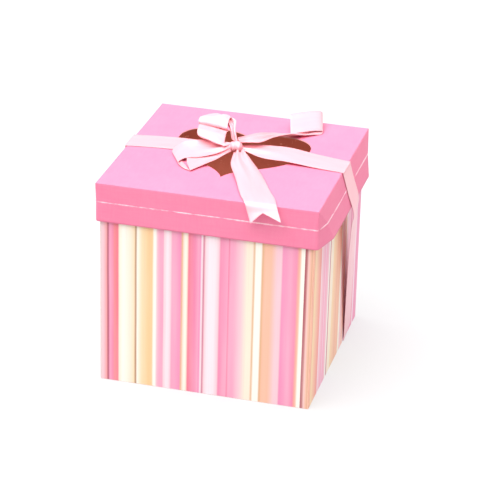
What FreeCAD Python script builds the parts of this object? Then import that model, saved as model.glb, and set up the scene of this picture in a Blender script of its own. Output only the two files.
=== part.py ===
import FreeCAD
import Part

import math
import os

# A square card gift box: a striped body, a lift-off lid with a heart window, and a ribbon tied in a bow.
# Millimetres, +Z up. The origin is the middle of the base's underside. The front faces -Y.

# Driving dimensions
lid_width = 220.0
overall_height = 213.0
lid_board = 1.4
skirt_depth = 40.5
side_flare = 12.5  # degrees that the left and right skirts stand out
end_lean = 1.3  # how far the front and back skirts lean in at their lower edge
crease_mid = 20.5  # how far along the side a corner crease has come at the score line
crease_low = 31.0  # and at the lower edge
glue_tab_board = 0.8
glue_tab_reach = 20.0  # along the gusset, from the corner
glue_tab_drop = 5.0  # below the lid's top
glue_tab_rise = 3.0  # above the skirt's lower edge

body_width = 213.0  # over the paper wrap
body_board = 1.6
wrap = 0.3
wrap_base_gap = 1.2
wrap_turn_in = 15.0
rest_gap = 0.3  # between the lid's panel and the wrap over the rim

base_flap_height = 25.0
base_flap_board = 1.2
base_flap_length = 180.0
seam_flap_width = 20.0
seam_flap_height = 160.0
seam_flap_gap = 1.0  # above the base's back flap
insert_board = 2.0
insert_side_gap = 0.6

heart_half_width = 67.5
heart_lobe_y = 61.0
heart_notch_y = 46.0
heart_tip_y = -58.5

ribbon_width = 30.0
ribbon_thickness = 0.5
ribbon_gap = 0.4  # from the card to the middle of the ribbon
knot_size = (12.0, 12.0, 10.0)
knot_centre = (0.0, -2.0, 222.0)
knot_rounding = 3.0

# Derived places
lid_half = lid_width / 2
lid_under = overall_height - lid_board
wrap_top = lid_under - rest_gap
wall_top = wrap_top - wrap
wall_half = body_width / 2 - wrap
inner_half = wall_half - body_board
skirt_bottom = overall_height - skirt_depth
flare_out = skirt_depth * math.sin(math.radians(side_flare))
flare_drop = skirt_depth * math.cos(math.radians(side_flare))
lid_face = overall_height + ribbon_gap

SIDES = {"front": -90.0, "right": 0.0, "back": 90.0, "left": 180.0}
CORNERS = {"front_right": (1, 1), "front_left": (-1, 1), "back_right": (1, -1), "back_left": (-1, -1)}


def vector(point):
    return FreeCAD.Vector(*point)


def turned(shape, degrees):
    """The shape turned about the vertical axis."""
    copy = shape.copy()
    copy.rotate(vector((0, 0, 0)), vector((0, 0, 1)), degrees)
    return copy


def solid_from_triangles(triangles):
    faces = []
    for corners in triangles:
        a, b, c = (vector(p) for p in corners)
        if (b - a).cross(c - a).Length > 1e-6:
            faces.append(Part.Face(Part.makePolygon([a, b, c, a])))
    solid = Part.makeSolid(Part.makeShell(faces))
    if solid.Volume < 0:
        solid.reverse()
    return solid


def ring_block(outer, inner, low, high):
    """A square tube standing on the vertical axis."""
    height = high - low
    outside = Part.makeBox(2 * outer, 2 * outer, height, vector((-outer, -outer, low)))
    inside = Part.makeBox(2 * inner, 2 * inner, height, vector((-inner, -inner, low)))
    return outside.cut(inside)


def quarter(side):
    """The quarter of space on one side of the box, bounded by its diagonals."""
    reach = lid_width
    corners = [(0, 0, -reach), (reach, -reach, -reach), (reach, reach, -reach), (0, 0, -reach)]
    face = Part.Face(Part.makePolygon([vector(p) for p in corners]))
    return turned(face.extrude(vector((0, 0, 3 * reach))), SIDES[side])


def body_walls():
    ring = ring_block(wall_half, inner_half, 0, wall_top)
    return {f"body_{side}_panel": ring.common(quarter(side)) for side in SIDES}


def body_wraps():
    """The printed paper: outside face, over the rim, and turned in at the top."""
    outer_half = wall_half + wrap
    liner_half = inner_half - wrap
    skin = ring_block(outer_half, wall_half, wrap_base_gap, wrap_top)
    rim = ring_block(outer_half, liner_half, wall_top, wrap_top)
    turn_in = ring_block(inner_half, liner_half, wrap_top - wrap_turn_in, wrap_top)
    whole = skin.fuse(rim).fuse(turn_in).removeSplitter()
    return {f"body_wrap_{side}": whole.common(quarter(side)) for side in SIDES}


def base_pieces():
    size = 2 * inner_half
    panel = Part.makeBox(size, size, body_board, vector((-inner_half, -inner_half, 0)))
    long, tall = base_flap_length / 2, base_flap_height
    outline = [(-long, 0), (long, 0), (long - tall / 2, tall), (tall / 2 - long, tall), (-long, 0)]
    corners = [vector((inner_half, y, body_board + z)) for y, z in outline]
    flap = Part.Face(Part.makePolygon(corners)).extrude(vector((-base_flap_board, 0, 0)))
    pieces = {f"base_glue_flap_{side}": turned(flap, SIDES[side]) for side in ("left", "right", "back")}
    pieces["body_base_panel"] = panel
    return pieces


def seam_flap():
    """The strip of the left panel that is folded round the corner and glued to the back panel."""
    start = (-inner_half, inner_half - base_flap_board, body_board + base_flap_height + seam_flap_gap)
    return Part.makeBox(seam_flap_width, base_flap_board, seam_flap_height, vector(start))


def insert():
    """The loose board that lies on the base and keeps the folding body square."""
    half = inner_half - base_flap_board - insert_side_gap
    start = (-half, -half, body_board + rest_gap)
    return Part.makeBox(2 * half, 2 * half, insert_board, vector(start))


def heart_face():
    """One heart from two mirrored chains of curves: lobe, shoulder, long side, and the flick to the tip."""
    side_join = (0.4 * heart_half_width, -31.0)
    right_half = [
        [(0, heart_notch_y), (6, 56), (20, heart_lobe_y), (36, heart_lobe_y)],
        [(36, heart_lobe_y), (54, heart_lobe_y), (heart_half_width, 49), (heart_half_width, 31)],
        [(heart_half_width, 31), (heart_half_width, 8), (54, -16), side_join],
        [side_join, (11, -40), (3.5, -50), (0, heart_tip_y)],
    ]
    edges = []
    for mirror in (1, -1):
        for poles in right_half:
            curve = Part.BezierCurve()
            curve.setPoles([vector((mirror * x, y, lid_under - 1)) for x, y in poles])
            edges.append(curve.toShape())
    return Part.Face(Part.Wire(Part.__sortEdges__(edges)))


def lid_top():
    inset = lid_half - lid_board  # the lower face is smaller, so the skirts meet it in a mitre
    top = [(lid_half, lid_half), (-lid_half, lid_half), (-lid_half, -lid_half), (lid_half, -lid_half)]
    low = [(inset if x > 0 else -inset, inset if y > 0 else -inset) for x, y in top]
    wires = []
    for outline, height in ((low, lid_under), (top, overall_height)):
        points = [vector((x, y, height)) for x, y in outline]
        wires.append(Part.makePolygon(points + points[:1]))
    panel = Part.makeLoft(wires, True, True)
    window = heart_face().extrude(vector((0, 0, lid_board + 2)))
    return panel.cut(window)


def card(outer, shift, facets):
    """A creased card from its outer corners, each with its own shift to the inner face, and its flat facets."""
    inner = [tuple(a + b for a, b in zip(p, s)) for p, s in zip(outer, shift)]
    count = len(outer)
    triangles = []
    for facet in facets:
        first = facet[0]
        for i, j in zip(facet[1:], facet[2:]):
            triangles.append((outer[first], outer[i], outer[j]))
            triangles.append((inner[first], inner[j], inner[i]))
    for i in range(count):
        j = (i + 1) % count
        triangles.append((outer[i], inner[i], inner[j]))
        triangles.append((outer[i], inner[j], outer[j]))
    return solid_from_triangles(triangles)


def mirrored(points, sx, sy):
    return [(sx * x, sy * y, z) for x, y, z in points]


def lid_sides():
    """The four skirts and the creased corner gussets, as folded from one blank."""
    t = lid_board
    corner = (lid_half, -lid_half, overall_height)
    middle = (lid_half + flare_out / 2, -lid_half + crease_mid, overall_height - flare_drop / 2)
    low = (lid_half + flare_out, -lid_half + crease_low, overall_height - flare_drop)
    front_low = (lid_half, -lid_half + end_lean, skirt_bottom)
    in_corner = (-t, t, -t)
    in_side = (-t, 0.1 * t, -0.2 * t)
    in_low = (-t, t, 0)
    pieces = {}
    gusset = [corner, front_low, low, middle]
    gusset_in = [in_corner, in_low, in_side, in_side]
    for name, (sx, sy) in CORNERS.items():
        facets = [(3, 0, 1), (3, 1, 2)]
        pieces[f"lid_gusset_{name}"] = card(mirrored(gusset, sx, sy), mirrored(gusset_in, sx, sy), facets)
    end = [corner, front_low] + mirrored([front_low, corner], -1, 1)
    end_in = [in_corner, in_low] + mirrored([in_low, in_corner], -1, 1)
    side = [corner, middle, low] + mirrored([low, middle, corner], 1, -1)
    side_in = [in_corner, in_side, in_side] + mirrored([in_side, in_side, in_corner], 1, -1)
    for name, sign in (("front", 1), ("back", -1)):
        pieces[f"lid_{name}_skirt"] = card(mirrored(end, 1, sign), mirrored(end_in, 1, sign), [(0, 1, 2, 3)])
    for name, sign in (("right", 1), ("left", -1)):
        facets = [(0, 1, 4, 5), (1, 2, 3, 4)]
        pieces[f"lid_{name}_skirt"] = card(mirrored(side, sign, 1), mirrored(side_in, sign, 1), facets)
    return pieces


def glue_tabs():
    """The triangular ends of the front and back skirts, folded round and glued inside the gussets."""
    folds_in = 2.0  # from the front skirt's inner face
    clear = 0.1
    x_in = lid_half - lid_board - clear
    y_in = lid_half - lid_board - folds_in
    spread = glue_tab_reach * flare_out / crease_low - 10 * clear
    outer = [
        (x_in, -y_in, overall_height - glue_tab_drop),
        (x_in, -y_in, skirt_bottom + glue_tab_rise),
        (x_in + spread, -y_in + glue_tab_reach, skirt_bottom + glue_tab_rise + 2.0),
    ]
    thin = [(-glue_tab_board, clear, 0)] * len(outer)
    pieces = {}
    for name, (sx, sy) in CORNERS.items():
        pieces[f"lid_glue_tab_{name}"] = card(mirrored(outer, sx, sy), mirrored(thin, sx, sy), [(0, 1, 2)])
    return pieces


def along(points, steps):
    """A smooth line through the points (Catmull-Rom), with the ends kept."""
    ends = [2 * points[0] - points[1]] + points + [2 * points[-1] - points[-2]]
    line = []
    for a, b, c, d in zip(ends, ends[1:], ends[2:], ends[3:]):
        for i in range(steps):
            t = i / steps
            bend = (2 * a - 5 * b + 4 * c - d) * t**2 + (3 * b - a - 3 * c + d) * t**3
            line.append(0.5 * (2 * b + (c - a) * t + bend))
    return line + [points[-1]]


def ribbon(stations, steps=3):
    """A thin ribbon through stations of x, y, z, turn and tilt of the line across it, and share of full width."""
    lefts, rights = [], []
    for x, y, z, turn, tilt, share in stations:
        turn, tilt = math.radians(turn), math.radians(tilt)
        half = ribbon_width * share / 2
        across = vector((math.cos(turn) * math.cos(tilt), math.sin(turn) * math.cos(tilt), math.sin(tilt)))
        lefts.append(vector((x, y, z)) - across * half)
        rights.append(vector((x, y, z)) + across * half)
    lefts, rights = along(lefts, steps), along(rights, steps)
    rings = []
    last = len(lefts) - 1
    for i, (left, right) in enumerate(zip(lefts, rights)):
        ahead, behind = min(i + 1, last), max(i - 1, 0)
        way = lefts[ahead] + rights[ahead] - lefts[behind] - rights[behind]
        normal = way.cross(right - left)
        normal.normalize()
        up = normal * (ribbon_thickness / 2)
        rings.append([tuple(p) for p in (left + up, right + up, right - up, left - up)])
    triangles = [(rings[0][0], rings[0][1], rings[0][2]), (rings[0][0], rings[0][2], rings[0][3])]
    triangles += [(rings[-1][2], rings[-1][1], rings[-1][0]), (rings[-1][3], rings[-1][2], rings[-1][0])]
    for near, far in zip(rings, rings[1:]):
        for k in range(4):
            m = (k + 1) % 4
            triangles.append((near[k], far[k], far[m]))
            triangles.append((near[k], far[m], near[m]))
    return solid_from_triangles(triangles)


def side_run(sign):
    """The stations of a ribbon over one edge of the lid, down the flared skirt, and on to the base's edge."""
    off = ribbon_gap
    edge = lid_half
    skirt_x = edge + flare_out
    skirt_z = overall_height - flare_drop
    slant = 15.0
    on_skirt = 93.5  # turned so that the ribbon lies flat on the flared card
    stations = [
        (edge - 1.0, 2.0, lid_face, 90, 0, 1),
        (edge + off + 0.2, 2.2, overall_height + 0.1, 90, 1, 1),
        (edge + off + 1.2, 3.2, overall_height - 3.5, 91.5, 8, 1),
        (edge + off + flare_out / 2, 7.5, overall_height - flare_drop / 2, on_skirt, slant, 1),
        (skirt_x + off + 1.0, 13.2, skirt_z - 4, on_skirt, slant, 1),
        (skirt_x - 0.8, 18.5, skirt_z - 22, 91, slant, 1),
        (skirt_x - 6.5, 39.0, skirt_z / 2, 90, slant, 1),
        (body_width / 2 + 1.1, 59.0, 4.8, 90, slant, 1),
    ]
    return [(sign * x, y, z, 90 + sign * (turn - 90), tilt, share) for x, y, z, turn, tilt, share in stations]


# Each row: x, y, z of the ribbon's middle, turn and tilt of the line across it, share of the full width.
ribbons = {
    "ribbon_right": [
        (5, -2, 220.5, 112, 4, 0.35),
        (25, 1, 219, 105, 5, 0.9),
        (52, 5, 217.5, 101, 5, 1),
        (80, 4, 215, 97, 3, 1),
    ] + side_run(1),
    "ribbon_left": [
        (-5, -1, 219.5, 92, 0, 0.35),
        (-28, 4, 216.5, 98, 0, 0.9),
        (-55, 7, 214.2, 99, 0, 1),
        (-84, 6, lid_face, 96, 0, 1),
    ] + side_run(-1),
    "bow_tail_front": [
        (5, -9, 221, 30, 0, 0.35),
        (13, -30, 218.5, 40, 0, 0.75),
        (27, -56, 216.5, 46, -2, 0.95),
        (42, -88, 215, 36, 0, 1),
        (50, -103, lid_face + 1.1, 18, 1, 1),
        (54, -lid_half - 1.5, overall_height + 0.3, 4, 5, 1),
        (57.5, -lid_half - 6, overall_height - 6.2, 0, 9, 1),
        (62, -lid_half - 12, overall_height - 13.2, 0, 11, 1),
    ],
    "bow_tail_left": [
        (-4, -9, 221.5, 118, 10, 0.35),
        (-18, -20, 218.2, 114, 2, 0.85),
        (-31, -28.5, 216.2, 124, 4, 1),
        (-38.4, -42.4, 215.3, 118, 3, 1),
    ],
    "bow_loop_left": [
        (-5, -4, 223, 110, 4, 0.35),
        (-22, -10, 221.8, 118, 9, 0.88),
        (-39, -15, 220.3, 121, 12, 1),
        (-46.5, -17.5, 219.6, 118, 7, 1),
        (-51.2, -20, 217.8, 116, 6, 1),
        (-54.4, -29, 215.4, 118, 0, 1),
        (-48.5, -37, 214, 120, 0, 1),
        (-40, -43, 213.8, 124, 0, 1),
    ],
    "bow_loop_back": [
        (-2, 1, 226, -40, -8, 0.35),
        (-9, 16, 233, -40, 2, 0.4),
        (-18, 27, 240, -18, -3, 0.75),
        (-28, 24, 240.5, 6, 2, 0.97),
        (-29, 17.5, 238, 2, 0, 1),
        (-28.5, 14.5, 234.2, -4, -1, 1),
        (-27.5, 18, 231.2, -12, -2, 1),
        (-28, 13, 232.6, -10, -6, 1),
        (-27.2, 5, 231.4, -8, -10, 1),
        (-26, -2, 229, -8, -12, 1),
        (-24, -6.5, 227, -12, -10, 0.97),
        (-21, -4.5, 226, -20, -7, 0.85),
        (-12, -1, 224.8, -28, -4, 0.5),
    ],
    "bow_loop_right": [
        (1, 3, 226.5, 116, 6, 0.35),
        (10.5, 11.3, 226, 112, 2, 0.6),
        (19.3, 20.9, 225, 109, 0, 0.8),
        (27.5, 38.9, 221.5, 107, -10, 0.7),
        (34.8, 48.7, 219, 106, -16, 0.58),
        (41.5, 59, 216.7, 106, -18, 0.5),
        (50, 71, 215.8, 106, 4, 0.6),
        (58, 83, 216.3, 105, 10, 0.85),
        (63.5, 90.5, 217.4, 105, 16, 1),
        (65, 94.5, 219.4, 105, 19, 1),
        (61.5, 92.3, 221.6, 105, 20, 1),
        (50, 84, 222.4, 105, 20, 1),
        (36.4, 73.7, 222, 105, 20, 1),
    ],
}


def knot():
    start = [c - s / 2 for c, s in zip(knot_centre, knot_size)]
    block = Part.makeBox(*knot_size, vector(start))
    return block.makeFillet(knot_rounding, block.Edges)


def build():
    pieces = {}
    pieces.update(body_walls())
    pieces.update(base_pieces())
    pieces["body_seam_flap"] = seam_flap()
    pieces.update(body_wraps())
    pieces["base_insert_board"] = insert()
    pieces["lid_top_panel"] = lid_top()
    pieces.update(lid_sides())
    pieces.update(glue_tabs())
    pieces["bow_knot"] = knot()
    for name, stations in ribbons.items():
        pieces[name] = ribbon(stations)
    return pieces


os.makedirs("parts", exist_ok=True)
for node, shape in build().items():
    shape.exportStep(f"parts/{node}.step")
    print(node, "valid" if shape.isValid() else "INVALID", round(shape.Volume, 1))
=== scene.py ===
import math

import bmesh
import bpy
from mathutils import Matrix, Vector, noise


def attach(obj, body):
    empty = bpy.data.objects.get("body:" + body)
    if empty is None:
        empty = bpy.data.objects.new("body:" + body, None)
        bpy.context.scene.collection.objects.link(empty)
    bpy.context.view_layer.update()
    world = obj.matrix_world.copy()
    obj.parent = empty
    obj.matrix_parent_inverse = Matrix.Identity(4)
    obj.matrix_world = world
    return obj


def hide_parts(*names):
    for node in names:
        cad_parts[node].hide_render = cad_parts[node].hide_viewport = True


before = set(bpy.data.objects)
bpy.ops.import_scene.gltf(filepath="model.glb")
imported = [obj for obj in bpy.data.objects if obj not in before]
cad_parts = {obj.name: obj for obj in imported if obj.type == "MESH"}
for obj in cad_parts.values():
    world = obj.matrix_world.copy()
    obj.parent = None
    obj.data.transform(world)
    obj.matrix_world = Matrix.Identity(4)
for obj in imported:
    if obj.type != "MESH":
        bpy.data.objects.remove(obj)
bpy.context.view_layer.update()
mm = 0.001  # the sizes below are in millimetres

view = {
    "azimuth": 14.24, "elevation": 25.08, "roll": 1.585,
    "distance": 2.2576, "target": (0.0165, 0, 0.1113), "lens": 161.7, "sensor": 36,
}

light = {
    "key": 5.6, "keyTilt": 16, "keyTurn": -45, "keySoftness": 75,
    "fill": 0.3, "fillTilt": 68, "fillTurn": 78, "fillSoftness": 60,
    "sky": 0.45, "floor": (0.22, 0.218, 0.22), "floorGlow": 0.62, "floorReach": 9,
}


# tools for making a piece from points

def hexColour(text):
    shades = [int(text[i:i + 2], 16) / 255 for i in (0, 2, 4)]
    return tuple(s / 12.92 if s <= 0.04045 else ((s + 0.055) / 1.055) ** 2.4 for s in shades) + (1,)


def settle(piece, sharpAngle):
    # modifiers are made real, and large flat faces keep flat shading
    piece.modifiers.new("evenShading", "WEIGHTED_NORMAL").keep_sharp = True
    piece.data.set_sharp_from_angle(angle=math.radians(sharpAngle))
    bpy.context.view_layer.update()
    ready = piece.evaluated_get(bpy.context.evaluated_depsgraph_get())
    mesh = bpy.data.meshes.new_from_object(ready)
    piece.modifiers.clear()
    piece.data = mesh


def addPiece(name, mesh, materials):
    piece = bpy.data.objects.new(name, mesh)
    bpy.context.scene.collection.objects.link(piece)
    for material in materials:
        mesh.materials.append(material)
    for face in mesh.polygons:
        face.use_smooth = True
    return piece


def skin(name, rings, uAt, vAt, materials, closedAcross=False, closedAlong=False):
    # rings of points joined into a quad skin, with a UV map in metres
    wide, long = len(rings[0]), len(rings)
    faces, places = [], []
    for i in range(long if closedAlong else long - 1):
        for j in range(wide if closedAcross else wide - 1):
            nextI, nextJ = (i + 1) % long, (j + 1) % wide
            faces.append((i * wide + j, i * wide + nextJ, nextI * wide + nextJ, nextI * wide + j))
            places += [(uAt[j], vAt[i]), (uAt[j + 1], vAt[i]), (uAt[j + 1], vAt[i + 1]), (uAt[j], vAt[i + 1])]
    mesh = bpy.data.meshes.new(name)
    mesh.from_pydata([p * mm for ring in rings for p in ring], [], faces)
    layer = mesh.uv_layers.new(name="run")
    for corner, place in zip(layer.data, places):
        corner.uv = (place[0] * mm, place[1] * mm)
    return addPiece(name, mesh, materials)


# node groups that several materials share

def nodeGroup(name, inputs, outputs):
    group = bpy.data.node_groups.new(name, "ShaderNodeTree")
    for label, kind, value in inputs:
        socket = group.interface.new_socket(name=label, in_out="INPUT", socket_type=kind)
        if value is not None:
            socket.default_value = value
    for label, kind in outputs:
        group.interface.new_socket(name=label, in_out="OUTPUT", socket_type=kind)
    return group, group.nodes.new("NodeGroupInput"), group.nodes.new("NodeGroupOutput")


def mathNode(nodes, links, operation, a, b=None, c=None, clamp=False):
    node = nodes.new("ShaderNodeMath")
    node.operation, node.use_clamp = operation, clamp
    for socket, value in zip(node.inputs, (a, b, c)):
        if value is None:
            continue
        if isinstance(value, (int, float)):
            socket.default_value = value
        else:
            links.new(value, socket)
    return node.outputs[0]


def noiseNode(nodes, links, vector, scale, detail=2, roughness=0.5):
    node = nodes.new("ShaderNodeTexNoise")
    node.inputs["Scale"].default_value = scale
    node.inputs["Detail"].default_value = detail
    node.inputs["Roughness"].default_value = roughness
    links.new(vector, node.inputs["Vector"])
    return node.outputs["Fac"]


def stretchNode(nodes, links, vector, scale):
    node = nodes.new("ShaderNodeMapping")
    node.inputs["Scale"].default_value = scale
    links.new(vector, node.inputs["Vector"])
    return node.outputs[0]


def absolute(nodes, links, value):
    return mathNode(nodes, links, "ABSOLUTE", value)


def mixColour(nodes, links, factor, a, b):
    node = nodes.new("ShaderNodeMix")
    node.data_type = "RGBA"
    for socket, value in ((node.inputs[0], factor), (node.inputs[6], a), (node.inputs[7], b)):
        if isinstance(value, (int, float, tuple)):
            socket.default_value = value
        else:
            links.new(value, socket)
    return node.outputs[2]


def makeCardGrain():
    # long soft fibres and a fine tooth, as on pressed card
    group, entry, end = nodeGroup(
        "cardGrain",
        [("Vector", "NodeSocketVector", None), ("Fibre", "NodeSocketFloat", 0.5),
         ("Tooth", "NodeSocketFloat", 0.5)],
        [("Tone", "NodeSocketFloat"), ("Height", "NodeSocketFloat")],
    )
    nodes, links = group.nodes, group.links
    level = noiseNode(nodes, links, stretchNode(nodes, links, entry.outputs[0], (60, 60, 420)), 1, 3, 0.6)
    upright = noiseNode(nodes, links, stretchNode(nodes, links, entry.outputs[0], (420, 90, 60)), 1, 3, 0.6)
    fine = noiseNode(nodes, links, entry.outputs[0], 1800, 2)
    both = mathNode(nodes, links, "SUBTRACT", mathNode(nodes, links, "ADD", level, upright), 1.0)
    fibre = mathNode(nodes, links, "MULTIPLY", both, entry.outputs[1])
    grit = mathNode(nodes, links, "SUBTRACT", fine, 0.5)
    tooth = mathNode(nodes, links, "MULTIPLY", grit, entry.outputs[2])
    total = mathNode(nodes, links, "ADD", fibre, tooth)
    links.new(mathNode(nodes, links, "ADD", total, 0.5), end.inputs["Tone"])
    links.new(total, end.inputs["Height"])
    return group


def makeRubbedLine():
    # a worn, broken line: strongest where the distance given is nought
    group, entry, end = nodeGroup(
        "rubbedLine",
        [("Vector", "NodeSocketVector", None), ("Distance", "NodeSocketFloat", 0.0),
         ("Width", "NodeSocketFloat", 0.001), ("Breaks", "NodeSocketFloat", 0.4)],
        [("Mask", "NodeSocketFloat")],
    )
    nodes, links = group.nodes, group.links
    away = absolute(nodes, links, entry.outputs[1])
    ragged = noiseNode(nodes, links, entry.outputs[0], 420, 3, 0.7)
    share = mathNode(nodes, links, "MULTIPLY_ADD", ragged, 1.6, 0.2)
    width = mathNode(nodes, links, "MULTIPLY", entry.outputs[2], share)
    near = mathNode(nodes, links, "SUBTRACT", 1.0, mathNode(nodes, links, "DIVIDE", away, width), clamp=True)
    patches = noiseNode(nodes, links, entry.outputs[0], 60, 3, 0.65)
    breaks = mathNode(nodes, links, "MULTIPLY", entry.outputs[3], 0.8)
    kept = mathNode(nodes, links, "SUBTRACT", patches, breaks)
    shown = mathNode(nodes, links, "MULTIPLY", kept, 5.0, clamp=True)
    links.new(mathNode(nodes, links, "MULTIPLY", near, shown), end.inputs[0])
    return group


selvedgeCord = {"fromEdge": 0.6, "halfWidth": 0.5}  # the corded edges of the ribbon


def makeSatinWeave():
    # floats of silk along the ribbon, the finer cross threads, and two corded selvedges
    group, entry, end = nodeGroup(
        "satinWeave",
        [("Run", "NodeSocketVector", None), ("Half width", "NodeSocketFloat", 0.015)],
        [("Lustre", "NodeSocketFloat"), ("Height", "NodeSocketFloat"), ("Selvedge", "NodeSocketFloat")],
    )
    nodes, links = group.nodes, group.links
    floats = noiseNode(nodes, links, stretchNode(nodes, links, entry.outputs[0], (2600, 70, 1)), 1, 2, 0.6)
    broad = noiseNode(nodes, links, stretchNode(nodes, links, entry.outputs[0], (160, 22, 1)), 1, 3, 0.5)
    cross = noiseNode(nodes, links, stretchNode(nodes, links, entry.outputs[0], (300, 3200, 1)), 1, 1)
    split = nodes.new("ShaderNodeSeparateXYZ")
    links.new(entry.outputs[0], split.inputs[0])
    fromMiddle = absolute(nodes, links, split.outputs[0])
    fromEdge = mathNode(nodes, links, "SUBTRACT", entry.outputs[1], fromMiddle)
    cordMiddle, cordHalf = selvedgeCord["fromEdge"] * mm, selvedgeCord["halfWidth"] * mm
    cord = absolute(nodes, links, mathNode(nodes, links, "SUBTRACT", fromEdge, cordMiddle))
    fromCord = mathNode(nodes, links, "DIVIDE", cord, cordHalf)
    selvedge = mathNode(nodes, links, "SUBTRACT", 1.0, fromCord, clamp=True)
    fine = mathNode(nodes, links, "MULTIPLY_ADD", cross, 0.3, mathNode(nodes, links, "MULTIPLY", floats, 0.7))
    silk = mathNode(nodes, links, "MULTIPLY", floats, 0.25)
    links.new(mathNode(nodes, links, "MULTIPLY_ADD", broad, 0.75, silk), end.inputs[0])
    links.new(mathNode(nodes, links, "MULTIPLY_ADD", selvedge, 0.8, fine), end.inputs[1])
    links.new(selvedge, end.inputs[2])
    return group


cardGrain, rubbedLine, satinWeave = makeCardGrain(), makeRubbedLine(), makeSatinWeave()


def startMaterial(name):
    material = bpy.data.materials.new(name)
    material.use_nodes = True
    nodes, links = material.node_tree.nodes, material.node_tree.links
    return material, nodes, links, nodes["Principled BSDF"]


def objectPlace(nodes):
    return nodes.new("ShaderNodeTexCoord").outputs["Object"]


def runPlace(nodes):
    run = nodes.new("ShaderNodeUVMap")
    run.uv_map = "run"
    return run.outputs[0]


def useGroup(nodes, links, group, **values):
    node = nodes.new("ShaderNodeGroup")
    node.node_tree = group
    for label, value in values.items():
        socket = node.inputs[label]
        if isinstance(value, (int, float)):
            socket.default_value = value
        else:
            links.new(value, socket)
    return node


def addBump(nodes, links, shader, height, strength, distance):
    bump = nodes.new("ShaderNodeBump")
    bump.inputs["Strength"].default_value = strength
    bump.inputs["Distance"].default_value = distance
    links.new(height, bump.inputs["Height"])
    links.new(bump.outputs[0], shader.inputs["Normal"])


def remap(nodes, links, value, low, high):
    node = nodes.new("ShaderNodeMapRange")
    node.inputs["To Min"].default_value = low
    node.inputs["To Max"].default_value = high
    links.new(value, node.inputs["Value"])
    return node.outputs[0]


# pink coated card of the lid

pinkCardLook = {
    "colour": hexColour("ef82a2"), "deeper": hexColour("ea7799"), "rubbed": hexColour("ffdde5"),
    "roughness": (0.42, 0.52), "scoreHeight": 193.2, "scoreWidth": 1.1,
    "rimHeight": 213, "rimHalf": 110, "edgeWidth": 0.7,
}


def makePinkCard():
    look = pinkCardLook
    material, nodes, links, shader = startMaterial("pinkCard")
    here = objectPlace(nodes)
    grain = useGroup(nodes, links, cardGrain, Vector=here, Fibre=0.5, Tooth=0.6)
    cloud = noiseNode(nodes, links, here, 14, 3)
    tone = mixColour(nodes, links, cloud, look["colour"], look["deeper"])
    split = nodes.new("ShaderNodeSeparateXYZ")
    links.new(here, split.inputs[0])
    score = mathNode(nodes, links, "SUBTRACT", split.outputs[2], look["scoreHeight"] * mm)
    scored = useGroup(nodes, links, rubbedLine, Vector=here, Distance=score,
                      Width=look["scoreWidth"] * mm, Breaks=0.48)
    rim = mathNode(nodes, links, "SUBTRACT", split.outputs[2], look["rimHeight"] * mm)
    reach = look["rimHalf"] * mm
    past = [mathNode(nodes, links, "SUBTRACT", absolute(nodes, links, split.outputs[axis]), reach)
            for axis in (0, 1)]
    outermost = mathNode(nodes, links, "MAXIMUM", *past)
    edge = mathNode(nodes, links, "ADD", absolute(nodes, links, rim), absolute(nodes, links, outermost))
    edged = useGroup(nodes, links, rubbedLine, Vector=here, Distance=edge,
                     Width=look["edgeWidth"] * mm, Breaks=0.62)
    edgeWear = mathNode(nodes, links, "MULTIPLY", edged.outputs[0], 0.6)
    worn = mathNode(nodes, links, "MAXIMUM", scored.outputs[0], edgeWear)
    paler = remap(nodes, links, grain.outputs["Tone"], -0.02, 0.12)
    tinted = mixColour(nodes, links, paler, tone, look["rubbed"])
    links.new(mixColour(nodes, links, worn, tinted, look["rubbed"]), shader.inputs["Base Color"])
    links.new(remap(nodes, links, cloud, *look["roughness"]), shader.inputs["Roughness"])
    addBump(nodes, links, shader, grain.outputs["Height"], 0.12, 0.0002)
    shader.inputs["IOR"].default_value = 1.16
    return material


# bare board: the inside of the box, the lid's lining and cut edges

# each board's glow value is painted light, an emission standing in for light inside the box
boardLooks = {
    "kraftBoard": {"colour": "d98a72", "deeper": "8c3529", "fleck": "dca58c", "paintedGlow": 0.36},
    "lidLining": {"colour": "c26a60", "deeper": "9a4440", "fleck": "dc9f94", "paintedGlow": 0.15},
    "cutBoard": {"colour": "d79c92", "deeper": "b06c66", "fleck": "efd2cc", "paintedGlow": 0.3},
}


def makeBoard(name):
    look = boardLooks[name]
    material, nodes, links, shader = startMaterial(name)
    here = objectPlace(nodes)
    grain = useGroup(nodes, links, cardGrain, Vector=here, Fibre=1.2, Tooth=1.0)
    cloud = noiseNode(nodes, links, here, 13, 4, 0.6)
    base = mixColour(nodes, links, cloud, hexColour(look["deeper"]), hexColour(look["colour"]))
    flecks = noiseNode(nodes, links, stretchNode(nodes, links, here, (240, 700, 240)), 1, 2, 0.7)
    strong = mathNode(nodes, links, "SUBTRACT", flecks, 0.62)
    shown = mathNode(nodes, links, "MULTIPLY", strong, 4.0, clamp=True)
    board = mixColour(nodes, links, shown, base, hexColour(look["fleck"]))
    links.new(board, shader.inputs["Base Color"])
    # the glow is painted light: an emission that stands for light bouncing inside the box and coming through
    # thin board
    links.new(board, shader.inputs["Emission Color"])
    shader.inputs["Emission Strength"].default_value = look["paintedGlow"]
    links.new(remap(nodes, links, grain.outputs["Tone"], 0.75, 0.95), shader.inputs["Roughness"])
    addBump(nodes, links, shader, grain.outputs["Height"], 0.3, 0.0003)
    return material


# striped paper: each stripe is a width and the tones at its left and right

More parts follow.
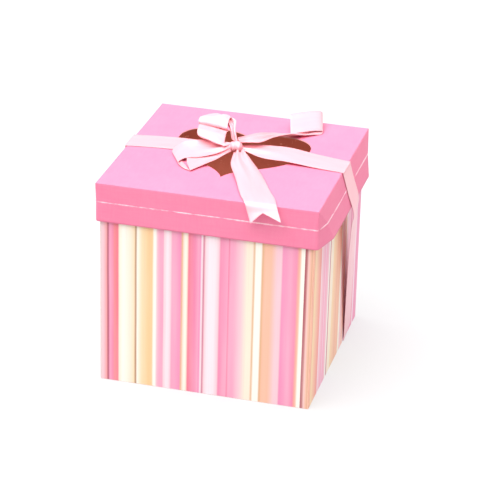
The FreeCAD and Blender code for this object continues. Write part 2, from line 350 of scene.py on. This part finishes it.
paperTones = {
    "silver": "d2c8c8", "ivory": "f4ede2", "cream": "f1e0cc", "butter": "efd3ab", "apricot": "edc494",
    "peach": "ecb89f", "tan": "d5a57c", "brown": "a87a58", "coral": "e67488", "rose": "e586a8",
    "pink": "eba0ba", "blush": "edc2ca", "petal": "f0dde3", "lilac": "e58bb2", "wine": "a4505f",
    "salmon": "e98f90",
}
frontStripes = [
    (3, "silver", "blush"), (5, "blush", "salmon"), (1.8, "wine", "rose"), (3.4, "pink", "rose"),
    (5.8, "salmon", "coral"), (4.5, "cream", "ivory"), (7, "ivory", "cream"), (5, "cream", "butter"),
    (1.5, "brown", "brown"), (5, "ivory", "butter"), (6.6, "butter", "apricot"), (4, "apricot", "apricot"),
    (3.3, "ivory", "ivory"), (3.4, "blush", "pink"), (3.6, "pink", "pink"), (4.2, "blush", "petal"),
    (4, "petal", "blush"), (3.2, "pink", "pink"), (5.8, "pink", "lilac"), (2.6, "tan", "peach"),
    (4.2, "ivory", "cream"), (7.2, "coral", "rose"), (3.6, "rose", "pink"), (2.6, "lilac", "lilac"),
    (1.2, "petal", "petal"), (1.4, "wine", "rose"), (4, "blush", "petal"), (6, "petal", "petal"),
    (4.4, "petal", "blush"), (8.6, "rose", "pink"), (1.4, "rose", "coral"), (5, "pink", "pink"),
    (6.4, "pink", "blush"), (6, "blush", "cream"), (5.8, "cream", "cream"), (0.9, "tan", "cream"),
    (7, "ivory", "ivory"), (2.6, "tan", "peach"), (6, "peach", "peach"), (6, "peach", "blush"),
    (4.6, "blush", "blush"), (8.4, "lilac", "pink"), (5.8, "pink", "rose"), (3, "salmon", "peach"),
    (4, "ivory", "ivory"), (2.2, "wine", "wine"), (2.6, "peach", "blush"), (2.2, "peach", "peach"),
    (1.4, "brown", "peach"),
]
sideStripes = [
    (4, "peach", "peach"), (2.5, "tan", "salmon"), (14, "butter", "peach"), (14, "peach", "salmon"),
    (4, "petal", "blush"), (14, "blush", "pink"), (2, "petal", "petal"), (14, "pink", "blush"),
    (4.5, "ivory", "ivory"), (3.5, "wine", "rose"), (12, "cream", "cream"), (19, "butter", "peach"),
    (3, "tan", "peach"), (14, "peach", "peach"), (7, "ivory", "cream"), (16, "blush", "peach"),
    (3, "petal", "petal"), (18, "blush", "pink"), (2, "wine", "rose"), (20, "pink", "rose"),
    (7, "blush", "petal"), (16, "lilac", "pink"),
]
paperLook = {
    # the side multiplier paints light: the side faces' inks are made brighter to stand in for light those
    # faces lack
    "side": 213, "sidePaintedLight": 1.16, "feather": 0.35, "waver": 0.4,
    "fade": 0.22, "faded": "f6e6e0", "streak": 0.10, "streaked": "e08a96",
    "cornerHalf": 106.5, "rubbedWidth": 1.1, "rubbed": "f2dcd6",
    "stripesPerRamp": 15,  # a colour ramp holds 32 points, and each stripe takes two
}


def paperStops():
    # where each stripe starts and ends round half the box, with the ink at each end; the side faces' inks are
    # painted lighter, as painted light for the sides that the lamps light less
    side = paperLook["side"]
    stops = []
    for start, stripes, paintedLight in ((0, frontStripes, 1), (side, sideStripes, paperLook["sidePaintedLight"])):
        stretch = side / sum(stripe[0] for stripe in stripes)
        for width, first, last in stripes:
            inks = [[min(1, shade * paintedLight) for shade in hexColour(paperTones[tone])] for tone in (first, last)]
            stops.append((start, start + width * stretch, *inks))
            start += width * stretch
    return stops


def stripeColour(nodes, links, run):
    # ramps laid end to end, each taking over where the one before it stops
    length = 2 * paperLook["side"]
    split = nodes.new("ShaderNodeSeparateXYZ")
    links.new(run, split.inputs[0])
    fine = noiseNode(nodes, links, stretchNode(nodes, links, run, (700, 5, 1)), 1, 2)
    waver = mathNode(nodes, links, "MULTIPLY_ADD", fine, paperLook["waver"] * mm, split.outputs[0])
    repeat = mathNode(nodes, links, "FRACT", mathNode(nodes, links, "DIVIDE", waver, length * mm))
    stops, share = paperStops(), paperLook["stripesPerRamp"]
    colour = None
    for begin in range(0, len(stops), share):
        part = stops[begin:begin + share]
        ramp = nodes.new("ShaderNodeValToRGB")
        points = ramp.color_ramp.elements
        links.new(repeat, ramp.inputs[0])
        wanted = []
        for left, right, toneA, toneB in part:
            wanted += [(left / length, toneA), ((right - paperLook["feather"]) / length, toneB)]
        while len(points) < len(wanted):
            points.new(0.5)
        for point, (where, tone) in zip(points, wanted):
            point.position, point.color = where, tone
        if colour is None:
            colour = ramp.outputs[0]
        else:
            past = mathNode(nodes, links, "GREATER_THAN", repeat, part[0][0] / length)
            colour = mixColour(nodes, links, past, colour, ramp.outputs[0])
    return colour


def makeStripedPaper():
    look = paperLook
    material, nodes, links, shader = startMaterial("stripedPaper")
    run, here = runPlace(nodes), objectPlace(nodes)
    colour = stripeColour(nodes, links, run)
    wash = noiseNode(nodes, links, stretchNode(nodes, links, run, (90, 7, 1)), 1, 3)
    washed = mathNode(nodes, links, "MULTIPLY", mathNode(nodes, links, "SUBTRACT", wash, 0.45),
                      2 * look["fade"], clamp=True)
    faded = mixColour(nodes, links, washed, colour, hexColour(look["faded"]))
    streaks = noiseNode(nodes, links, stretchNode(nodes, links, run, (900, 9, 1)), 1, 1)
    streaked = mathNode(nodes, links, "MULTIPLY", mathNode(nodes, links, "SUBTRACT", streaks, 0.5),
                        3 * look["streak"], clamp=True)
    inked = mixColour(nodes, links, streaked, faded, hexColour(look["streaked"]))
    # the folded corners are rubbed pale
    spot = nodes.new("ShaderNodeSeparateXYZ")
    links.new(here, spot.inputs[0])
    corner = look["cornerHalf"] * mm
    gaps = [mathNode(nodes, links, "SUBTRACT", corner, absolute(nodes, links, spot.outputs[axis]))
            for axis in (0, 1)]
    rubbed = useGroup(nodes, links, rubbedLine, Vector=here, Width=look["rubbedWidth"] * mm, Breaks=0.55,
                      Distance=mathNode(nodes, links, "MAXIMUM", *gaps))
    paler = mathNode(nodes, links, "MULTIPLY", rubbed.outputs[0], 0.6)
    links.new(mixColour(nodes, links, paler, inked, hexColour(look["rubbed"])), shader.inputs["Base Color"])
    grain = useGroup(nodes, links, cardGrain, Vector=here, Fibre=0.4, Tooth=0.5)
    links.new(remap(nodes, links, grain.outputs["Tone"], 0.42, 0.56), shader.inputs["Roughness"])
    addBump(nodes, links, shader, grain.outputs["Height"], 0.1, 0.0002)
    shader.inputs["IOR"].default_value = 1.2
    return material


# satin of the ribbon

satinLook = {
    "colour": hexColour("f6b4bc"), "deeper": hexColour("f0a2ae"), "edge": hexColour("e895a5"),
    "roughness": (0.26, 0.42),
}


def makeSatin():
    look = satinLook
    material, nodes, links, shader = startMaterial("satinRibbon")
    weave = useGroup(nodes, links, satinWeave, Run=runPlace(nodes))
    lustre = remap(nodes, links, weave.outputs["Lustre"], -0.2, 1.2)
    base = mixColour(nodes, links, lustre, look["deeper"], look["colour"])
    edging = mathNode(nodes, links, "MULTIPLY", weave.outputs["Selvedge"], 0.5)
    links.new(mixColour(nodes, links, edging, base, look["edge"]), shader.inputs["Base Color"])
    links.new(remap(nodes, links, weave.outputs["Lustre"], *look["roughness"]), shader.inputs["Roughness"])
    addBump(nodes, links, shader, weave.outputs["Height"], 0.18, 0.00015)
    shader.inputs["Sheen Weight"].default_value = 0.2
    shader.inputs["Sheen Roughness"].default_value = 0.4
    shader.inputs["Sheen Tint"].default_value = (1, 0.86, 0.9, 1)
    shader.inputs["Specular IOR Level"].default_value = 0.85
    return material


pinkCard = makePinkCard()
kraftBoard, lidLining, cutBoard = (makeBoard(name) for name in boardLooks)
stripedPaper, satin = makeStripedPaper(), makeSatin()
print("materials ready")


# lid: one creased blank, with the heart cut from its top

lid = {
    "half": 110, "top": 213, "deep": 40, "board": 1.4,
    "frontMid": (110, 109.35, 193.2), "frontLow": (110, 108.7, 172.5),  # crease between front and gusset
    "sideMid": (114.4, 89.5, 193.2), "sideLow": (118.8, 79, 173.5),  # crease between gusset and side
    "edgeRound": 0.9, "edgeBend": (0.27, 0.24), "creaseRound": 1.2, "cornerRound": 3.5,
    # down from the score line, and out
    "scoreRows": [(-1.1, 0), (-0.5, -0.12), (0, 0.28), (0.5, -0.12), (1.1, 0)],
    "slack": 0.35,  # how uneven the flat sides are
}
heart = {
    "lobe": [(0, 46), (6, 56), (20, 61), (36, 61)],
    "shoulder": [(36, 61), (54, 61), (67.5, 49), (67.5, 31)],
    "side": [(67.5, 31), (67.5, 8), (54, -16), (27, -31)],
    "flick": [(27, -31), (11, -40), (3.5, -50), (0, -58.5)],
    "middle": 8,  # its middle lies this far behind the lid's
}


def heartOutline(steps=14):
    right = []
    for part in ("lobe", "shoulder", "side", "flick"):
        a, b, c, d = (Vector((x, y, lid["top"])) for x, y in heart[part])
        for i in range(steps):
            t = i / steps
            right.append(a * (1 - t) ** 3 + 3 * b * t * (1 - t) ** 2 + 3 * c * t * t * (1 - t) + d * t ** 3)
    right.append(Vector((*heart["flick"][-1], lid["top"])))
    left = [Vector((-p.x, p.y, p.z)) for p in reversed(right[1:-1])]
    return right + left


def creasePoints(drop):
    # the eight creases at a share of the way down: 0 is the top, 0.5 the score line, 1 the lower edge
    corner = Vector((lid["half"], lid["half"], lid["top"]))
    found = []
    for mid, low in (("frontMid", "frontLow"), ("sideMid", "sideLow")):
        mid, low = Vector(lid[mid]), Vector(lid[low])
        found.append(corner.lerp(mid, drop * 2) if drop < 0.5 else mid.lerp(low, drop * 2 - 1))
    f, s = found
    around = [(-1, -1, f), (1, -1, f), (1, -1, s), (1, 1, s), (1, 1, f), (-1, 1, f), (-1, 1, s), (-1, -1, s)]
    return [Vector((sx * p.x, sy * p.y, p.z)) for sx, sy, p in around]


def besideCrease(crease, other, radius):
    # where the rounding of one crease ends, on the way to another
    gap = (other - crease).length
    if gap <= 0.01:
        return crease
    return crease + (other - crease).normalized() * min(radius, 0.4 * gap)


def lidRing(drop, outward=0.0, inset=0.0):
    creases = creasePoints(drop)
    cornerRadius = lid["cornerRound"] * min(1, drop * 2)
    radii = [cornerRadius if i in (0, 1, 4, 5) else lid["creaseRound"] for i in range(8)]
    ring = []
    for i, here in enumerate(creases):
        before, after = creases[i - 1], creases[(i + 1) % 8]
        start, stop = besideCrease(here, before, radii[i]), besideCrease(here, after, radii[i])
        for t in (0, 0.25, 0.5, 0.75, 1):
            ring.append(start * (1 - t) ** 2 + 2 * here * t * (1 - t) + stop * t * t)
        nextStart = besideCrease(after, here, radii[(i + 1) % 8])
        count = 5 if i in (1, 3, 5, 7) else 22
        ring += [stop.lerp(nextStart, k / count) for k in range(1, count)]
    shaped = []
    for p in ring:
        flat = Vector((p.x, p.y, 0)).normalized()
        p = Vector((p.x * (1 - inset / lid["half"]), p.y * (1 - inset / lid["half"]), p.z))
        unevenness = noise.noise(Vector((p.x, p.y, p.z)) * 0.018) * lid["slack"] * min(1, drop * 3)
        shaped.append(p + flat * (outward + unevenness))
    return shaped


def joinAround(sheet, outer, inner):
    # the flat card between an outer and an inner outline, both seen from a point inside the window
    full = 2 * math.pi

    def bearing(corner):
        return math.atan2(corner.co.y - heart["middle"] * mm, corner.co.x) % full

    outer, inner = sorted(outer, key=bearing), sorted(inner, key=bearing)
    i = j = 0
    while i < len(outer) or j < len(inner):
        nextOut = bearing(outer[i + 1]) if i + 1 < len(outer) else full + (i - len(outer) + 1)
        nextIn = bearing(inner[j + 1]) if j + 1 < len(inner) else full + (j - len(inner) + 1)
        a, b = outer[i % len(outer)], inner[j % len(inner)]
        if j >= len(inner) or (i < len(outer) and nextOut <= nextIn):
            sheet.faces.new((a, outer[(i + 1) % len(outer)], b))
            i += 1
        else:
            sheet.faces.new((a, inner[(j + 1) % len(inner)], b))
            j += 1


def makeLid():
    edge = [(0, lid["edgeRound"], 0), (0, *lid["edgeBend"]), (lid["edgeRound"] / lid["deep"], 0, 0)]
    rings = []
    for drop, inset, down in edge:
        rings.append([p - Vector((0, 0, down)) for p in lidRing(drop, inset=inset)])
    drops = [(0.06 + 0.08 * k, 0) for k in range(6)]
    drops += [(0.5 + down / lid["deep"], out) for down, out in lid["scoreRows"]]
    drops += [(0.56 + 0.08 * k, 0) for k in range(6)] + [(1.0, 0)]
    rings += [lidRing(drop, outward=out) for drop, out in drops]
    wide = len(rings[0])
    sheet = bmesh.new()
    rows = [[sheet.verts.new(p * mm) for p in ring] for ring in rings]
    for upper, lower in zip(rows, rows[1:]):
        for j in range(wide):
            k = (j + 1) % wide
            sheet.faces.new((upper[j], lower[j], lower[k], upper[k]))
    joinAround(sheet, rows[0], [sheet.verts.new(p * mm) for p in heartOutline()])
    bmesh.ops.remove_doubles(sheet, verts=sheet.verts, dist=0.02 * mm)
    bmesh.ops.recalc_face_normals(sheet, faces=sheet.faces)
    nearTop = (lid["top"] - 0.1) * mm
    flat = [f for f in sheet.faces if abs(f.normal.z) > 0.99 and f.calc_center_median().z > nearTop]
    if sum(f.normal.z for f in flat) < 0:
        bmesh.ops.reverse_faces(sheet, faces=sheet.faces)
    mesh = bpy.data.meshes.new("lidShell")
    sheet.to_mesh(mesh)
    sheet.free()
    piece = addPiece("lidShell", mesh, [pinkCard, lidLining, cutBoard])
    thicken = piece.modifiers.new("board", "SOLIDIFY")
    thicken.thickness, thicken.offset = lid["board"] * mm, -1
    thicken.material_offset, thicken.material_offset_rim = 1, 2
    settle(piece, 38)
    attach(piece, "lid")
    nodes = ["lid_top_panel", "lid_front_skirt", "lid_back_skirt", "lid_left_skirt", "lid_right_skirt"]
    nodes += [f"lid_gusset_{end}_{hand}" for end in ("front", "back") for hand in ("left", "right")]
    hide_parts(*nodes)


makeLid()
print("lid folded")


# body: the striped paper wrap over the four walls, turned in at the rim

wrap = {
    "half": 106.5, "inner": 104.3, "low": 0.3, "top": 211.3, "turnIn": 15, "paper": 0.3, "corner": 1.3,
    "foldDeep": 0.6, "foldBend": [(0.1, 0.25), (0.4, 0)],  # in from the face, and down from the rim
    "slack": 0.18,
}


def squareRing(half, radius, height):
    # a square with round corners, and how far along it each point lies
    ring, run = [], []
    distance, side = radius, 2 * (half - radius)
    for sx, sy, turn in ((1, -1, -90), (1, 1, 0), (-1, 1, 90), (-1, -1, 180)):
        centre = Vector((sx * (half - radius), sy * (half - radius), height))
        start = math.radians(turn)
        first = centre + radius * Vector((math.cos(start), math.sin(start), 0))
        away = Vector((math.sin(start), -math.cos(start), 0)) * side
        for k in range(16):
            ring.append(first + away * (1 - k / 16))
            run.append(distance + side * k / 16)
        distance += side
        for k in range(6):
            angle = start + math.radians(90 * k / 6)
            ring.append(centre + radius * Vector((math.cos(angle), math.sin(angle), 0)))
            run.append(distance + 2 * radius * k / 6)
        distance += 2 * radius
    run.append(distance)
    return ring, run


def makeWrap():
    outer, inner, paper = wrap["half"], wrap["inner"], wrap["paper"]
    top, low = wrap["top"], wrap["low"]
    straight = top - low - wrap["foldDeep"]
    profile = [(outer, low)] + [(outer, low + straight * k / 12) for k in range(1, 13)]
    profile += [(outer - back, top - down) for back, down in wrap["foldBend"]]
    profile += [(inner + back, top - down) for back, down in reversed(wrap["foldBend"])]
    profile += [(inner, top - wrap["foldDeep"])]
    profile += [(inner, top - wrap["turnIn"]), (inner + paper, top - wrap["turnIn"])]
    profile += [(inner + paper, top - paper), (outer - paper, top - paper), (outer - paper, low)]
    rings, runs, heights, travelled = [], None, [], 0.0
    for k, (half, height) in enumerate(profile):
        radius = max(0.3, wrap["corner"] - (outer - half))
        ring, run = squareRing(half, radius, height)
        runs = runs or run
        if half == outer and k < 12:
            ring = [p + Vector((p.x, p.y, 0)).normalized() * noise.noise(p * 0.02) * wrap["slack"]
                    for p in ring]
        rings.append(ring)
        if k:
            travelled += math.hypot(half - profile[k - 1][0], height - profile[k - 1][1])
        heights.append(travelled)
    heights.append(travelled + paper)
    piece = skin("stripedWrap", rings, runs, heights, [stripedPaper], closedAcross=True, closedAlong=True)
    settle(piece, 40)
    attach(piece, "box_body")
    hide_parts("body_wrap_front", "body_wrap_right", "body_wrap_back", "body_wrap_left")


makeWrap()

boardNodes = [
    "body_front_panel", "body_right_panel", "body_back_panel", "body_left_panel", "body_base_panel",
    "base_glue_flap_left", "base_glue_flap_right", "base_glue_flap_back", "body_seam_flap",
    "base_insert_board", "lid_glue_tab_front_right", "lid_glue_tab_front_left",
    "lid_glue_tab_back_right", "lid_glue_tab_back_left",
]
for name in boardNodes:
    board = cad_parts[name]
    board.data.materials.clear()
    board.data.materials.append(kraftBoard)
print("body wrapped")


# ribbon. Rows: x, y, z of its middle, turn and tilt of the line across it, share of the full width, crown

satinStrip = {
    "width": 30, "thick": 0.35, "across": 22, "steps": 10,
    "pleats": 2.0, "pleatDepth": 2.0, "ripple": 0.5,
}


def sideRun(sign):
    # over the lid's edge, down its flared side and on down the wall: 1 at the right, -1 at the left
    rows = [
        (109, 2, 213.5, 90, 0, 1, 0), (110.6, 2.2, 213.1, 90, 1, 1, 0), (111.6, 3.2, 209.5, 91.5, 8, 1, 0),
        (114.8, 7.5, 193.25, 93.5, 15, 1, 0), (120.2, 13.2, 169.5, 93.5, 15, 1, 0),
        (118, 18.5, 151.5, 91, 15, 1, 0.4), (112.3, 39, 86.7, 90, 15, 1, 0.6), (107.6, 59, 4.8, 90, 15, 1, 0),
    ]
    return [(sign * row[0], *row[1:3], 90 + sign * (row[3] - 90), *row[4:]) for row in rows]


ribbonPieces = {
    "ribbonRight": {
        "node": "ribbon_right", "cut": 327, "held": "stretched", "restsOn": ["lidShell"],
        "rows": [(5, -2, 220.5, 112, 4, 0.35, 0), (25, 1, 219, 105, 5, 0.9, 1.5),
                 (52, 5, 217.5, 101, 5, 1, 1.0), (80, 4, 215, 97, 3, 1, 0.4)] + sideRun(1),
    },
    "ribbonLeft": {
        "node": "ribbon_left", "cut": 327, "held": "stretched", "restsOn": ["lidShell"],
        "rows": [(-5, -1, 219.5, 92, 0, 0.35, 0), (-28, 4, 216.5, 98, 0, 0.9, 1.0),
                 (-55, 7, 214.2, 99, 0, 1, 0.4), (-84, 6, 213.5, 96, 0, 1, 0.2)] + sideRun(-1),
    },
    "bowTailFront": {
        "node": "bow_tail_front", "cut": 133, "held": "draped", "restsOn": ["lidShell"],
        "notch": 10.5, "slant": -0.6,
        "rows": [(5, -9, 221, 30, 0, 0.35, 0), (13, -30, 218.5, 40, 0, 0.75, 1.2),
                 (27, -56, 216.5, 46, -2, 0.95, 1.4), (42, -88, 215, 36, 0, 1, 0.8),
                 (50, -103, 214.6, 18, 1, 1, 0.3), (54, -111.5, 213.2, 4, 5, 1, 0),
                 (57.5, -116, 206.8, 0, 9, 1, 0.4), (62, -122, 199.8, 0, 11, 1, 0.8)],
    },
    "bowTailLeft": {
        "node": "bow_tail_left", "cut": 52, "held": "draped", "restsOn": ["lidShell"], "slant": 5,
        "rows": [(-4, -9, 221.5, 118, 10, 0.35, 0), (-18, -20, 218.4, 114, 2, 0.85, 0.6),
                 (-31, -28.5, 216.4, 124, 4, 1, 0.5), (-38.8, -42, 215.8, 118, 4, 1.07, 0)],
    },
    "bowLoopLeft": {
        "node": "bow_loop_left", "cut": 80, "held": "folded", "restsOn": ["lidShell"],
        "rows": [(-5, -4, 223, 110, 4, 0.35, 0), (-22, -10, 221.8, 118, 9, 0.88, 1.6),
                 (-39, -15, 220.3, 121, 12, 1, 1.2), (-46.5, -17.5, 219.4, 118, 9, 1, 0.6),
                 (-51.2, -20, 217.8, 116, 6, 1, 0), (-54.4, -29, 215.4, 118, 0, 1, 0),
                 (-48.5, -37, 214.1, 120, 0, 1, 0), (-40, -43, 213.9, 124, 0, 1, 0)],
    },
    "bowLoopBack": {
        "node": "bow_loop_back", "cut": 107, "held": "folded", "restsOn": ["lidShell"],
        "rows": [(-2, 1, 226, -40, -8, 0.35, 0), (-9, 16, 233, -40, 2, 0.4, 0.5),
                 (-18, 27, 240, -18, -3, 0.75, 1.2), (-28, 24, 240.5, 6, 2, 0.97, 1.5),
                 (-29, 17.5, 238, 2, 0, 1, 0.8), (-28.5, 14.5, 234.2, -4, -1, 1, 0),
                 (-27.5, 18, 231.2, -12, -2, 1, 0), (-28, 13, 232.6, -10, -6, 1, 0.6),
                 (-27.2, 5, 231.4, -8, -10, 1, 1.6), (-26, -2, 229, -8, -12, 1, 1.4),
                 (-24, -6.5, 227, -12, -10, 0.97, 0.5), (-21, -4.5, 226, -20, -7, 0.85, 0),
                 (-12, -1, 224.8, -28, -4, 0.5, 0)],
    },
    "bowLoopRight": {
        "node": "bow_loop_right", "cut": 151, "held": "folded", "restsOn": ["lidShell"],
        "rows": [(1, 3, 226.5, 116, 6, 0.35, 0), (10.5, 11.3, 226, 112, 2, 0.6, 0.8),
                 (19.3, 20.9, 225, 109, 0, 0.8, 1.0), (27.5, 38.9, 221.5, 107, -10, 0.7, 0.6),
                 (34.8, 48.7, 219, 106, -16, 0.58, 0.3), (41.5, 59, 216.7, 106, -18, 0.5, 0),
                 (50, 71, 215.8, 106, 4, 0.6, 0), (58, 83, 216.3, 105, 10, 0.85, 0),
                 (63.5, 90.5, 217.4, 105, 16, 1, 0), (65, 94.5, 219.4, 105, 19, 1, 0),
                 (61.5, 92.3, 221.6, 105, 20, 1, 0), (50, 84, 222.4, 105, 20, 1, 0.4),
                 (36.4, 73.7, 222, 105, 20, 1, 0.2)],
    },
}


def between(values, t):
    # a smooth line through every value
    i = min(int(t), len(values) - 2)
    f = t - i
    b, c = values[i], values[i + 1]
    a = values[i - 1] if i else 2 * b - c
    d = values[i + 2] if i + 2 < len(values) else 2 * c - b
    square, cube = 2 * a - 5 * b + 4 * c - d, 3 * b - a - 3 * c + d
    return 0.5 * (2 * b + (c - a) * f + square * f * f + cube * f ** 3)


def ribbonEdges(rows):
    lefts, rights = [], []
    for x, y, z, turn, tilt, share, crown in rows:
        turn, tilt = math.radians(turn), math.radians(tilt)
        across = Vector((math.cos(turn) * math.cos(tilt), math.sin(turn) * math.cos(tilt), math.sin(tilt)))
        lefts.append(Vector((x, y, z)) - across * satinStrip["width"] * share / 2)
        rights.append(Vector((x, y, z)) + across * satinStrip["width"] * share / 2)
    return lefts, rights


def ribbonPoint(rows, edges, t, s, seed):
    last = len(rows) - 1
    left, right = between(edges[0], t), between(edges[1], t)
    before, after = max(t - 0.05, 0), min(t + 0.05, last)
    way = sum((between(edge, after) - between(edge, before) for edge in edges), Vector())
    normal = way.cross(right - left).normalized()
    share = min(1, between([r[5] for r in rows], t))
    crown = between([r[6] for r in rows], t)
    gathered = 1 - share
    wave = math.cos(math.pi * satinStrip["pleats"] * (s + 0.15 * seed))
    pleat = math.sqrt(gathered) * satinStrip["pleatDepth"] * wave
    rippled = satinStrip["ripple"] * min(1, crown + gathered * 2)
    ripple = noise.noise(Vector((s * 1.3, t * 1.1, seed))) * rippled
    return left * (1 - s) / 2 + right * (1 + s) / 2 + normal * (crown * (1 - s * s) + pleat + ripple)


def makeRibbon(name, facts, seed):
    rows = facts["rows"]
    edges = ribbonEdges(rows)
    last = len(rows) - 1
    across, steps = satinStrip["across"], satinStrip["steps"] * last
    # millimetres to a row near the end, for cutting the end to its notch or slant
    pace = sum((between(edge, last) - between(edge, last - 0.2) for edge in edges), Vector()).length / 0.4
    rings, travelled = [], [0.0]
    for i in range(steps + 1):
        ring = []
        for j in range(across + 1):
            s = 2 * j / across - 1
            short = facts.get("notch", 0) * (1 - abs(s)) + facts.get("slant", 0) * s
            t = min(last, max(0, (last - max(0, short) / pace) * i / steps))
            ring.append(ribbonPoint(rows, edges, t, s, seed))
        if rings:
            travelled.append(travelled[-1] + (ring[across // 2] - rings[-1][across // 2]).length)
        rings.append(ring)
    width = satinStrip["width"]
    uAt = [width * (j / across - 0.5) for j in range(across + 1)]
    piece = skin(name, rings, uAt, travelled, [satin])
    thicken = piece.modifiers.new("satin", "SOLIDIFY")
    thicken.thickness, thicken.offset = satinStrip["thick"] * mm, 0
    settle(piece, 50)
    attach(piece, "lid")
    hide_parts(facts["node"])
    print(name, "ribbon length", round(travelled[-1], 1))


for seed, (name, facts) in enumerate(ribbonPieces.items()):
    makeRibbon(name, facts, seed)


# knot: the ribbon pulled once round the crossing, with its folds

knot = {
    "centre": (0, -2, 222.3), "reach": (6.5, 6.6, 5.4), "folds": 2, "foldDepth": 0.32, "turn": 24,
    "wide": 40, "long": 22, "wrapLength": 12,
}


def makeKnot():
    rings, wide, long = [], knot["wide"], knot["long"]
    turn = Matrix.Rotation(math.radians(knot["turn"]), 3, "Z")
    for i in range(long + 1):
        along = -1 + 2 * i / long
        girth = (1 - abs(along) ** 3.2) ** 0.42 if abs(along) < 1 else 0.04
        ring = []
        for j in range(wide):
            angle = 2 * math.pi * j / wide
            fold = math.sin(math.pi * knot["folds"] * along + 0.5 * math.sin(2 * angle))
            ridge = 1 + knot["foldDepth"] / 5 * fold
            dent = 1 - 0.08 * math.exp(-((along - 0.2 * math.sin(angle)) * 5) ** 2)
            size = girth * ridge * dent
            p = Vector((along * knot["reach"][0], math.cos(angle) * size * knot["reach"][1],
                        math.sin(angle) * size * knot["reach"][2]))
            ring.append(turn @ p + Vector(knot["centre"]))
        rings.append(ring)
    uAt = [satinStrip["width"] * (j / wide - 0.5) for j in range(wide + 1)]
    vAt = [knot["wrapLength"] * i / long for i in range(long + 1)]
    piece = skin("bowKnot", rings, uAt, vAt, [satin], closedAcross=True)
    shape = bmesh.new()
    shape.from_mesh(piece.data)
    bmesh.ops.holes_fill(shape, edges=shape.edges, sides=0)
    bmesh.ops.recalc_face_normals(shape, faces=shape.faces)
    shape.to_mesh(piece.data)
    shape.free()
    for face in piece.data.polygons:
        face.use_smooth = True
    settle(piece, 60)
    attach(piece, "lid")
    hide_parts("bow_knot")


makeKnot()
print("bow tied")


# floor, lights and camera

def makeStudio():
    floorMesh, reach = bpy.data.meshes.new("floor"), light["floorReach"]
    corners = [(reach * x, reach * y, 0) for x, y in ((-1, -1), (1, -1), (1, 1), (-1, 1))]
    floorMesh.from_pydata(corners, [], [(0, 1, 2, 3)])
    material, nodes, links, shader = startMaterial("paleFloor")
    shader.inputs["Base Color"].default_value = light["floor"] + (1,)
    shader.inputs["Emission Color"].default_value = (1, 0.99, 0.995, 1)
    shader.inputs["Emission Strength"].default_value = light["floorGlow"]
    shader.inputs["Roughness"].default_value = 0.8
    shader.inputs["Specular IOR Level"].default_value = 0.1
    floor = addPiece("floor", floorMesh, [material])
    for kind in ("key", "fill"):
        sun = bpy.data.lights.new(kind + "Sun", "SUN")
        sun.energy, sun.angle = light[kind], math.radians(light[kind + "Softness"])
        sunObject = bpy.data.objects.new(kind + "Sun", sun)
        tilt, heading = math.radians(light[kind + "Tilt"]), math.radians(light[kind + "Turn"])
        sunObject.rotation_euler = (tilt, 0, heading)
        bpy.context.scene.collection.objects.link(sunObject)
    world = bpy.data.worlds.new("whiteRoom")
    bpy.context.scene.world = world
    world.use_nodes = True
    nodes, links = world.node_tree.nodes, world.node_tree.links
    room, seen = nodes["Background"], nodes.new("ShaderNodeBackground")
    room.inputs["Strength"].default_value = light["sky"]
    room.inputs["Color"].default_value = (1, 1, 1, 1)
    seen.inputs["Color"].default_value = (1, 1, 1, 1)
    blend, path = nodes.new("ShaderNodeMixShader"), nodes.new("ShaderNodeLightPath")
    links.new(path.outputs["Is Camera Ray"], blend.inputs[0])
    links.new(room.outputs[0], blend.inputs[1])
    links.new(seen.outputs[0], blend.inputs[2])
    links.new(blend.outputs[0], nodes["World Output"].inputs[0])
    bpy.context.scene.view_settings.view_transform = "Standard"


def placeCamera():
    az, el, roll = (math.radians(view[k]) for k in ("azimuth", "elevation", "roll"))
    back = Vector((math.sin(az) * math.cos(el), -math.cos(az) * math.cos(el), math.sin(el)))
    right = Vector((math.cos(az), math.sin(az), 0))
    up = back.cross(right)
    side = right * math.cos(roll) + up * math.sin(roll)
    over = up * math.cos(roll) - right * math.sin(roll)
    data = bpy.data.cameras.new("camera")
    data.lens, data.sensor_width = view["lens"], view["sensor"]
    camera = bpy.data.objects.new("camera", data)
    turn = Matrix((side, over, back)).transposed().to_4x4()
    camera.matrix_world = Matrix.Translation(Vector(view["target"]) + back * view["distance"]) @ turn
    bpy.context.scene.collection.objects.link(camera)
    bpy.context.scene.camera = camera


makeStudio()
placeCamera()
print("studio ready")
